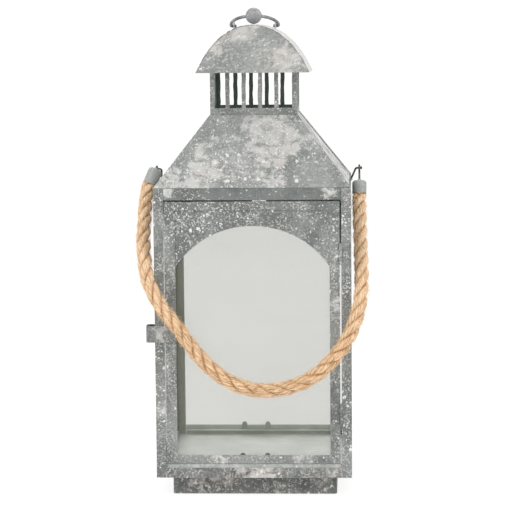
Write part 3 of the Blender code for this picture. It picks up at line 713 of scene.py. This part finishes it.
def softened(node, stuff, width=FOLD, waves=False):
    """The CAD node's own shape with its folds and cut edges rounded."""
    body = NODES[node]["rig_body"]
    bm = bmesh.new()
    bm.from_mesh(NODES[node].data)
    bmesh.ops.remove_doubles(bm, verts=bm.verts, dist=WELD)
    level = math.radians(LEVEL)
    bmesh.ops.dissolve_limit(bm, angle_limit=level, verts=bm.verts, edges=bm.edges)
    if waves:
        wave_bars(bm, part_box(node))
    piece = show(node + "_sheet", bm, stuff, body, (node,))
    bevel = piece.modifiers.new("folds", "BEVEL")
    bevel.width = width
    bevel.segments = 2
    bevel.limit_method = "ANGLE"
    bevel.angle_limit = math.radians(CREASE)
    bevel.harden_normals = True
    piece.data.shade_smooth()
    piece.data.set_sharp_from_angle(angle=math.radians(CREASE))
    return piece


# ---- rope ----------------------------------------------------------------

ROPE_R = 0.00775
CROWN = 0.0087  # radius over a strand's middle
GROOVE = 0.0034  # depth between two strands
LAY = 0.063  # one turn of a strand round the rope
STRANDS = 3
ROPE_STEP = 0.0011  # between two rings of the rope's mesh
ROPE_AROUND = 126  # points on a ring
PATH_STEP = 0.012
FIBRES = 8000
FIBRE_STEP = 0.0015  # between two places where fibres start
FIBRE_LONG = (0.003, 0.009)
FIBRE_R = (0.00006, 0.00010)
ROPE_IN = 0.0035  # how far the rope goes into a ferrule
ROPE_OUT = 0.0040  # how far it goes straight on, outside
FERRULE_LONG = {"left": 0.0222, "right": 0.0165}
FERRULES = {  # the middle of the top, and a point on the way to the mouth
    "left": (Vector((-0.1262, -0.0130, 0.3962)), Vector((-0.1340, -0.0225, 0.3774))),
    "right": (Vector((0.1305, -0.0105, 0.3812)), Vector((0.1304, -0.0145, 0.3655))),
}

# The rope's route from the left ferrule to the right one, the same as in the CAD.
ROUTE = [
    (-0.1364, -0.0340, 0.3645),
    (-0.1366, -0.0490, 0.3515),
    (-0.1360, -0.0710, 0.3330),
    (-0.1355, -0.0880, 0.3150),
    (-0.1330, -0.1050, 0.2970),
    (-0.1297, -0.1205, 0.2795),
    (-0.1240, -0.1312, 0.2630),
    (-0.1155, -0.1370, 0.2480),
    (-0.1065, -0.1425, 0.2350),
    (-0.0955, -0.1475, 0.2220),
    (-0.0845, -0.1520, 0.2085),
    (-0.0730, -0.1570, 0.1940),
    (-0.0580, -0.1630, 0.1765),
    (-0.0380, -0.1680, 0.1600),
    (-0.0170, -0.1710, 0.1485),
    (0.0055, -0.1720, 0.1430),
    (0.0290, -0.1720, 0.1430),
    (0.0510, -0.1700, 0.1475),
    (0.0710, -0.1670, 0.1560),
    (0.0880, -0.1630, 0.1685),
    (0.1020, -0.1580, 0.1830),
    (0.1140, -0.1520, 0.1985),
    (0.1225, -0.1440, 0.2160),
    (0.1285, -0.1340, 0.2330),
    (0.1315, -0.1220, 0.2495),
    (0.1325, -0.1080, 0.2670),
    (0.1322, -0.0940, 0.2850),
    (0.1317, -0.0790, 0.3030),
    (0.1312, -0.0640, 0.3215),
    (0.1308, -0.0480, 0.3370),
    (0.1305, -0.0320, 0.3510),
]


def smooth_line(points, spacing):
    """Evenly spaced points on a Catmull-Rom curve through some points."""
    fine = []
    padded = [2 * points[0] - points[1]] + points + [2 * points[-1] - points[-2]]
    for a, b, c, d in zip(padded, padded[1:], padded[2:], padded[3:]):
        for k in range(24):
            t = k / 24
            curve = 2 * b + (c - a) * t + (2 * a - 5 * b + 4 * c - d) * t * t
            fine.append((curve + (3 * b - a - 3 * c + d) * t ** 3) / 2)
    fine.append(points[-1])
    along = [0.0]
    for a, b in zip(fine, fine[1:]):
        along.append(along[-1] + (b - a).length)
    count = round(along[-1] / spacing)
    spaced, i = [], 0
    for k in range(count + 1):
        want = along[-1] * k / count
        while i < len(along) - 2 and along[i + 1] < want:
            i += 1
        t = (want - along[i]) / (along[i + 1] - along[i])
        spaced.append(fine[i].lerp(fine[i + 1], t))
    return spaced


def rope_line(spacing):
    """The rope's middle, straight in and just outside the ferrules."""
    ends = {}
    for side, (top, mouth) in FERRULES.items():
        along = (mouth - top).normalized()
        rim = top + along * FERRULE_LONG[side]
        ends[side] = [rim - along * ROPE_IN, rim + along * ROPE_OUT]
    middle = [Vector(p) for p in ROUTE]
    return smooth_line(ends["left"] + middle + ends["right"][::-1], spacing)


def strand_radius(turn, run, strand, x):
    """The rope's radius at a place x across a strand, -1 to 1, with its lumps."""
    size = CROWN - GROOVE * abs(x) ** 2.3
    size += 0.00045 * noise.noise(Vector((turn * 4.8, run * 70, strand * 5.3)))
    return size + 0.00030 * noise.noise(Vector((turn * 13, run * 95, strand * 9.1)))


def strand_at(turn, run):
    """Which strand is at this angle, and how far across it, -1 to 1."""
    place = (turn - 2 * math.pi * run / LAY) * STRANDS / (2 * math.pi)
    strand = math.floor(place + 0.5)
    return strand % STRANDS, 2 * (place - strand)


def add_rope(fibre):
    """Three strands laid round each other, pressed into a nearly round section.

    The yarns lie almost along the rope, and dive under at each groove.
    """
    line = rope_line(ROPE_STEP)
    bm = bmesh.new()
    uv = bm.loops.layers.uv.new("yarn")
    groove = bm.verts.layers.float.new("groove")
    rings = []
    for i, (point, (_, across, up)) in enumerate(zip(line, carried(line))):
        run = i * ROPE_STEP
        ring = []
        for k in range(ROPE_AROUND):
            turn = 2 * math.pi * k / ROPE_AROUND
            out = across * math.cos(turn) + up * math.sin(turn)
            wander = 0.10 * noise.noise(Vector((run * 55, turn, 3)))
            strand, x = strand_at(turn + wander, run)
            vert = bm.verts.new(point + out * strand_radius(turn, run, strand, x))
            vert[groove] = abs(x) ** 4
            ring.append(vert)
        rings.append(ring)
    for i, (a, b) in enumerate(zip(rings, rings[1:])):
        run = i * ROPE_STEP
        for k in range(ROPE_AROUND):
            n = (k + 1) % ROPE_AROUND
            face = bm.faces.new((a[k], a[n], b[n], b[k]))
            strand, _ = strand_at(2 * math.pi * (k + 0.5) / ROPE_AROUND, run + ROPE_STEP / 2)
            for loop, (di, dk) in zip(face.loops, ((0, 0), (0, 1), (1, 1), (1, 0))):
                along = run + di * ROPE_STEP
                u = (k + dk) / ROPE_AROUND + 0.12 * along / LAY + strand * 0.37
                loop[uv].uv = (u, along * 20 + strand * 1.7)
    for ring in (rings[0], rings[-1]):
        bm.faces.new(ring)
    rope = show("handle_rope_strands", bm, fibre, "handle", ("handle_rope",), 180)
    return rope, rope_line(PATH_STEP), (len(line) - 1) * ROPE_STEP


def add_fibre(bm, points, radius):
    """A three-sided hair that ends in points."""
    frames = carried(points)
    rings = []
    for point, (_, across, up) in zip(points[1:-1], frames[1:-1]):
        ring = []
        for k in range(3):
            turn = 2 * math.pi * k / 3
            out = across * math.cos(turn) + up * math.sin(turn)
            ring.append(bm.verts.new(point + out * radius))
        rings.append(ring)
    start, end = bm.verts.new(points[0]), bm.verts.new(points[-1])
    rings = [[start] * 3] + rings + [[end] * 3]
    for a, b in zip(rings, rings[1:]):
        for k in range(3):
            n = (k + 1) % 3
            bm.faces.new(list(dict.fromkeys([a[k], a[n], b[n], b[k]])))


def add_fuzz(fibre):
    """Loose fibres that stand off the rope."""
    luck = random.Random(7)
    line = rope_line(FIBRE_STEP)
    frames = carried(line)
    bm = bmesh.new()
    for _ in range(FIBRES):
        i = luck.randrange(3, len(line) - 4)
        along, across, up = frames[i]
        turn = luck.uniform(0, 2 * math.pi)
        out = across * math.cos(turn) + up * math.sin(turn)
        side = along.cross(out)
        length = luck.uniform(*FIBRE_LONG)
        lean = along * luck.choice((-1, 1)) * luck.uniform(0.6, 1.2)
        lean += side * luck.uniform(-0.8, 0.8)
        rise = luck.uniform(0.05, 0.50)
        start = line[i] + out * (ROPE_R - luck.uniform(-0.0004, 0.0010))
        points = []
        for step in range(5):
            t = step / 4
            lift = out * (rise * math.sin(math.pi * 0.6 * t))
            points.append(start + (lean * t + lift) * length)
        add_fibre(bm, points, luck.uniform(*FIBRE_R))
    return show("rope_fuzz", bm, fibre, "handle")


# ---- handle hardware -----------------------------------------------------

HANDLE_AXIS_Z = JOINTS["handle_swing"]["pos_m"][2]
STAPLE_WIRE = 0.0013
STAPLE_BEND = 0.0025
STAPLE_HEAD = (  # the beaten head: how far past the tip, and the radius there
    (0.0002, 0.0018), (0.0005, 0.0021), (0.0010, 0.0021), (0.0014, 0.0016),
)
SOLDER_BEAD = Vector((0.0023, 0.0030, 0.0012))
STAPLE_X = {  # of the foot, the knee and the tip
    "left": (-0.1202, -0.1202, -0.1279),
    "right": (0.1196, 0.1262, 0.1322),
}
EYE_X = {"left": -0.1262, "right": 0.1305}
EYE_WIRE = 0.0013
EYE_R = 0.0032
EYE_STEM = 0.0026
FERRULE_R = 0.0090
NECK_TALL, NECK_R = 0.0022, 0.0020
SHOULDER = 0.0036
SOCKET_R, SOCKET_DEEP = 0.00808, 0.005
RIM_BEAD = 0.00035
EYELET_R, EYELET_ROLL, EYELET_TALL = 0.0013, 0.0007, 0.0008  # its rim is a roll


def add_ferrule(side, top, mouth, metal):
    """A drawn cup with a stub, a domed shoulder and a rolled rim."""
    turn = (top - mouth).to_track_quat("Z", "Y").to_matrix().to_4x4()
    low = -FERRULE_LONG[side]
    profile = [(0, NECK_TALL), (NECK_R * 0.9, NECK_TALL), (NECK_R, NECK_TALL * 0.85)]
    profile += [(NECK_R * 1.1, NECK_TALL / 3), (1.5 * NECK_R, 0.0003), (2.1 * NECK_R, 0)]
    profile += arc((FERRULE_R - SHOULDER, -SHOULDER), SHOULDER, 88, 0, 14)
    profile += [(FERRULE_R, low * 0.5), (FERRULE_R - 0.0001, low * 0.8)]
    profile += [(FERRULE_R, low + 4 * RIM_BEAD)]
    profile += arc((FERRULE_R - RIM_BEAD, low + RIM_BEAD), RIM_BEAD, 20, -160, 8)
    profile += [(SOCKET_R, low + 3 * RIM_BEAD), (SOCKET_R, low + SOCKET_DEEP)]
    profile += [(0, low + SOCKET_DEEP)]
    bm = turned(profile, 64, Matrix.Translation(top) @ turn)
    return show(f"ferrule_{side}_cup", bm, metal, "handle", ("ferrule_" + side,), 40)


def add_eye_pin(side, top, mouth, metal):
    """A wire out of the ferrule's stub that curls round the handle's axis."""
    up = (top - mouth).normalized()
    start = top + up * NECK_TALL
    knee = start + up * EYE_STEM
    pivot = Vector((EYE_X[side], 0, HANDLE_AXIS_Z))
    reach = knee - pivot
    far = math.hypot(reach.y, reach.z)
    touch = math.degrees(math.atan2(reach.z, reach.y) + math.acos(EYE_R / far))
    eye = [pivot + Vector((0, y, z)) for y, z in arc((0, 0), EYE_R, touch, touch + 300, 28)]
    neck = rounded([start, knee, eye[0]], EYE_STEM / 2)
    line = neck + eye[1:]
    bm = wire(line, [EYE_WIRE] * len(line), 14)
    return show(f"eye_pin_{side}_wire", bm, metal, "handle", ("eye_pin_" + side,), 60)


def add_eyelet(top, mouth, metal):
    """A small eyelet pressed into the left ferrule's shoulder, at its front left."""
    up = (top - mouth).normalized()
    side = up.cross(Vector((0, 1, 0))).normalized()
    front = side.cross(up).normalized()
    if front.y > 0:
        front = -front
    out = (up * 0.75 + front * 0.45 - Vector((1, 0, 0)) * 0.55).normalized()
    level = (out - up * out.dot(up)).normalized()
    centre = top - up * SHOULDER + level * (FERRULE_R - SHOULDER) + out * (SHOULDER - 0.0003)
    turn = out.to_track_quat("Z", "Y").to_matrix().to_4x4()
    hole, skirt = EYELET_R - EYELET_ROLL, EYELET_R + EYELET_ROLL + 0.0001
    profile = [(0, -0.0004), (hole, -0.0004), (hole, EYELET_TALL)]
    profile += arc((EYELET_R, EYELET_TALL), EYELET_ROLL, 180, 0, 10)[1:]
    profile += [(skirt, 0.0002), (skirt, -0.0005), (0, -0.0005)]
    bm = turned(profile, 28, Matrix.Translation(centre) @ turn)
    return show("ferrule_left_eyelet", bm, metal, "handle", (), 50)


def add_staples(metal, bead):
    """A bent wire on each side of the roof, with a head that holds the eye pin."""
    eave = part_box("roof_panel_front")[0].z
    for side, (foot_x, knee_x, tip_x) in STAPLE_X.items():
        foot = Vector((foot_x, 0, eave + (0 if foot_x == knee_x else STAPLE_WIRE / 2)))
        knee = Vector((knee_x, 0, HANDLE_AXIS_Z))
        tip = Vector((tip_x, 0, HANDLE_AXIS_Z))
        line = rounded([foot, knee, tip], STAPLE_BEND)
        out = (tip - knee).normalized()
        radii = [STAPLE_WIRE] * len(line)
        for step, size in STAPLE_HEAD:
            line.append(tip + out * step)
            radii.append(size)
        node = "handle_staple_" + side
        show(node + "_wire", wire(line, radii, 18), metal, "body", (node,), 60)
        add_blob(f"solder_staple_{side}", foot, SOLDER_BEAD, bead)


def add_blob(name, place, size, stuff):
    """A small uneven bead of solder."""
    bm = bmesh.new()
    bmesh.ops.create_icosphere(bm, subdivisions=4, radius=1)
    for vert in bm.verts:
        swell = 1 + 0.22 * noise.noise(vert.co * 1.7 + place * 90)
        vert.co = place + vert.co * size * swell
    return show(name, bm, stuff, "body", (), 180)


# ---- finial ring ---------------------------------------------------------

RING_WIRE = 0.0020  # radius
RING_R = 0.0298  # of the half circle, to the wire's middle
RING_LEG = 0.0025
RING_TIP = 0.0236  # where the wire ends, in its lug
BALL_R = 0.0101
BALL_HOLE = RING_WIRE + 0.0002
BALL_FLAT = 0.9 * BALL_R  # how far the ball's ends are from its middle


def ring_place():
    """The ring's own frame: x along its axis, z from there to the ball."""
    axis = Vector(JOINTS["ring_swing"]["pos_m"])
    low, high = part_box("ring_ball")
    lean = math.acos(((low.z + high.z) / 2 - axis.z) / (RING_LEG + RING_R))
    return Matrix.Translation(axis) @ Matrix.Rotation(lean, 4, "X")


def add_ring(place, metal):
    """A half circle of wire on two short legs, whose feet turn in the lugs."""
    half = [(RING_TIP, 0.0), (RING_R - RING_LEG, 0.0)]
    half += arc((RING_R - RING_LEG, RING_LEG), RING_LEG, -90, 0, 8)[1:]
    top = arc((0, RING_LEG), RING_R, 0, 180, 72)[1:-1]
    mirror = [(-x, z) for x, z in reversed(half)]
    line = [place @ Vector((x, 0, z)) for x, z in half + top + mirror]
    bm = wire(line, [RING_WIRE] * len(line), 24)
    show("top_ring_wire", bm, metal, "ring", ("top_ring",), 60)


def add_ball(place, metal):
    """A ball threaded on the ring."""
    spin = place @ Matrix.Translation((0, 0, RING_LEG + RING_R))
    spin = spin @ Matrix.Rotation(math.pi / 2, 4, "Y")
    pole = 88.5 - math.degrees(math.asin(BALL_HOLE / BALL_R))
    profile = [(0, -BALL_FLAT), (BALL_HOLE, -BALL_FLAT)]
    profile += arc((0, 0), BALL_R, -pole, pole, 40)
    profile += [(BALL_HOLE, BALL_FLAT), (0, BALL_FLAT)]
    show("ring_ball_bead", turned(profile, 56, spin), metal, "ring", ("ring_ball",), 50)


# ---- the lantern ---------------------------------------------------------

def add_walls(sheet):
    """The corner posts, then each side's rails, roof, vent and window arch."""
    for name in ("front_left", "front_right", "back_left", "back_right"):
        softened("post_" + name, sheet["posts"])
    for side in ("front", "back", "left", "right"):
        softened("top_rail_" + side, sheet["rails"])
        roof = sheet["roof"] if side in ("front", "back") else sheet["roof_sides"]
        softened("roof_panel_" + side, roof)
        softened("vent_wall_" + side, sheet["vent"], width=THIN_FOLD, waves=True)
        if side != "front":
            rail = softened("bottom_rail_" + side, sheet["sills"])
            low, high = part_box("bottom_rail_" + side)
            # Faces above the ledge take the paler sheet, whose inward faces are painted light.
            relined(rail, sheet["ledges_painted_light"], (low.x, low.y, low.z + LEDGE), high)
            softened("arch_panel_" + side, sheet["arches"], width=SMALL_FOLD)
    apron = softened("apron_rail_front", sheet["apron"])
    low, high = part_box("apron_rail_front")
    # Faces above the apron's height, the threshold, take a pale sheet as painted light.
    relined(apron, sheet["threshold"], (low.x, low.y, low.z + APRON), high)
    softened("base_plinth", sheet["foot"])


def add_door(sheet):
    """The door's frame, arch and latch, and the tab that stops the door."""
    softened("door_frame", sheet["door"])
    softened("door_arch_panel", sheet["door"], width=SMALL_FOLD)
    softened("door_stop_tab", sheet["barrel"], width=SMALL_FOLD)
    softened("latch_strip", sheet["latch"], width=THIN_FOLD)


def add_cap(sheet, inner):
    """The barrel, its two end faces and the plate on the vent."""
    softened("cap_barrel", sheet["barrel"])
    softened("cap_face_front", sheet["cap"])
    softened("cap_face_back", sheet["cap"])
    softened("cap_base_plate", inner)


def add_clips_and_lugs(sheet, inner):
    """The clips that hold the panes, and the lugs that hold the ring."""
    for name in ("back_left", "back_right", "left", "right"):
        softened("glass_clip_" + name, inner, CLIP_FOLD)
    for name in ("left", "right"):
        softened("door_glass_clip_" + name, inner, CLIP_FOLD)
        softened("ring_lug_" + name, sheet["barrel"], CLIP_FOLD)


def add_hinges(sheet, pin_metal):
    """Two hinges, each with a leaf on the post, a leaf on the door and a pin."""
    for name in ("upper", "lower"):
        for owner in ("post", "door"):
            softened(f"hinge_{name}_{owner}_leaf", sheet["posts"], width=CLIP_FOLD)
        softened(f"hinge_{name}_pin", pin_metal, CLIP_FOLD)


def add_handle(sheet, pin_metal):
    """The rope with its loose fibres, and the hardware at its ends."""
    rope, path, length = add_rope(jute())
    fuzz = add_fuzz(loose_fibre())
    for side, (top, mouth) in FERRULES.items():
        add_ferrule(side, top, mouth, sheet["ferrules"])
        add_eye_pin(side, top, mouth, pin_metal)
    add_eyelet(*FERRULES["left"], wire_metal("eyelet_metal", (205, 205, 203), (238, 238, 236)))
    add_staples(pin_metal, solder())


def build():
    sheet = {name: zinc("zinc_" + name, **settings) for name, settings in ZINC.items()}
    inner = inner_shaded_zinc()
    dull_wire = wire_metal("dull_wire", (48, 48, 40), (108, 108, 98))
    add_walls(sheet)
    add_door(sheet)
    add_cap(sheet, inner)
    softened("floor_plate", floor_zinc())
    add_clips_and_lugs(sheet, inner)
    add_hinges(sheet, dull_wire)
    glass = window_glass()
    for name in ("glass_back", "glass_left", "glass_right", "door_glass"):
        softened(name, glass, THIN_FOLD)
    add_handle(sheet, dull_wire)
    place = ring_place()
    add_ring(place, wire_metal("ring_wire", (104, 108, 108), (158, 160, 161)))
    add_ball(place, sheet["ball"])


# ---- studio --------------------------------------------------------------

SKY = 1.04  # strength of the white sky
FLOOR_GAP = 0.0003  # below the foot
MIDDLE = (0, 0, 0.3)  # where the lights point
LIGHTS = (  # name, place, size, power
    ("key", (-1.5, -2.0, 2.2), 1.6, 24),
    ("fill", (2.0, -1.2, 1.4), 1.6, 10),
    ("back", (0.3, 2.2, 2.6), 2.0, 18),
)


def add_floor():
    bm = bmesh.new()
    bmesh.ops.create_grid(bm, x_segments=8, y_segments=8, size=40)
    mesh = bpy.data.meshes.new("studio_floor")
    bm.to_mesh(mesh)
    bm.free()
    mesh.materials.append(studio_floor())
    floor = bpy.data.objects.new("studio_floor", mesh)
    floor.location.z = CAD_BOX[0][2] - FLOOR_GAP
    bpy.context.scene.collection.objects.link(floor)


def add_light(name, place, size, power):
    data = bpy.data.lights.new(name, "AREA")
    data.shape = "DISK"
    data.size = size
    data.energy = power
    light = bpy.data.objects.new(name, data)
    light.location = place
    light.rotation_euler = (Vector(place) - Vector(MIDDLE)).to_track_quat("Z", "Y").to_euler()
    bpy.context.scene.collection.objects.link(light)


def studio():
    """A white floor under an even white sky, with three soft lights."""
    add_floor()
    world = bpy.data.worlds.new("studio")
    world.use_nodes = True
    world.node_tree.nodes["Background"].inputs[0].default_value = (1, 1, 1, 1)
    world.node_tree.nodes["Background"].inputs[1].default_value = SKY
    bpy.context.scene.world = world
    for light in LIGHTS:
        add_light(*light)
    bpy.context.scene.view_settings.view_transform = "Standard"


add_camera()
build()
studio()
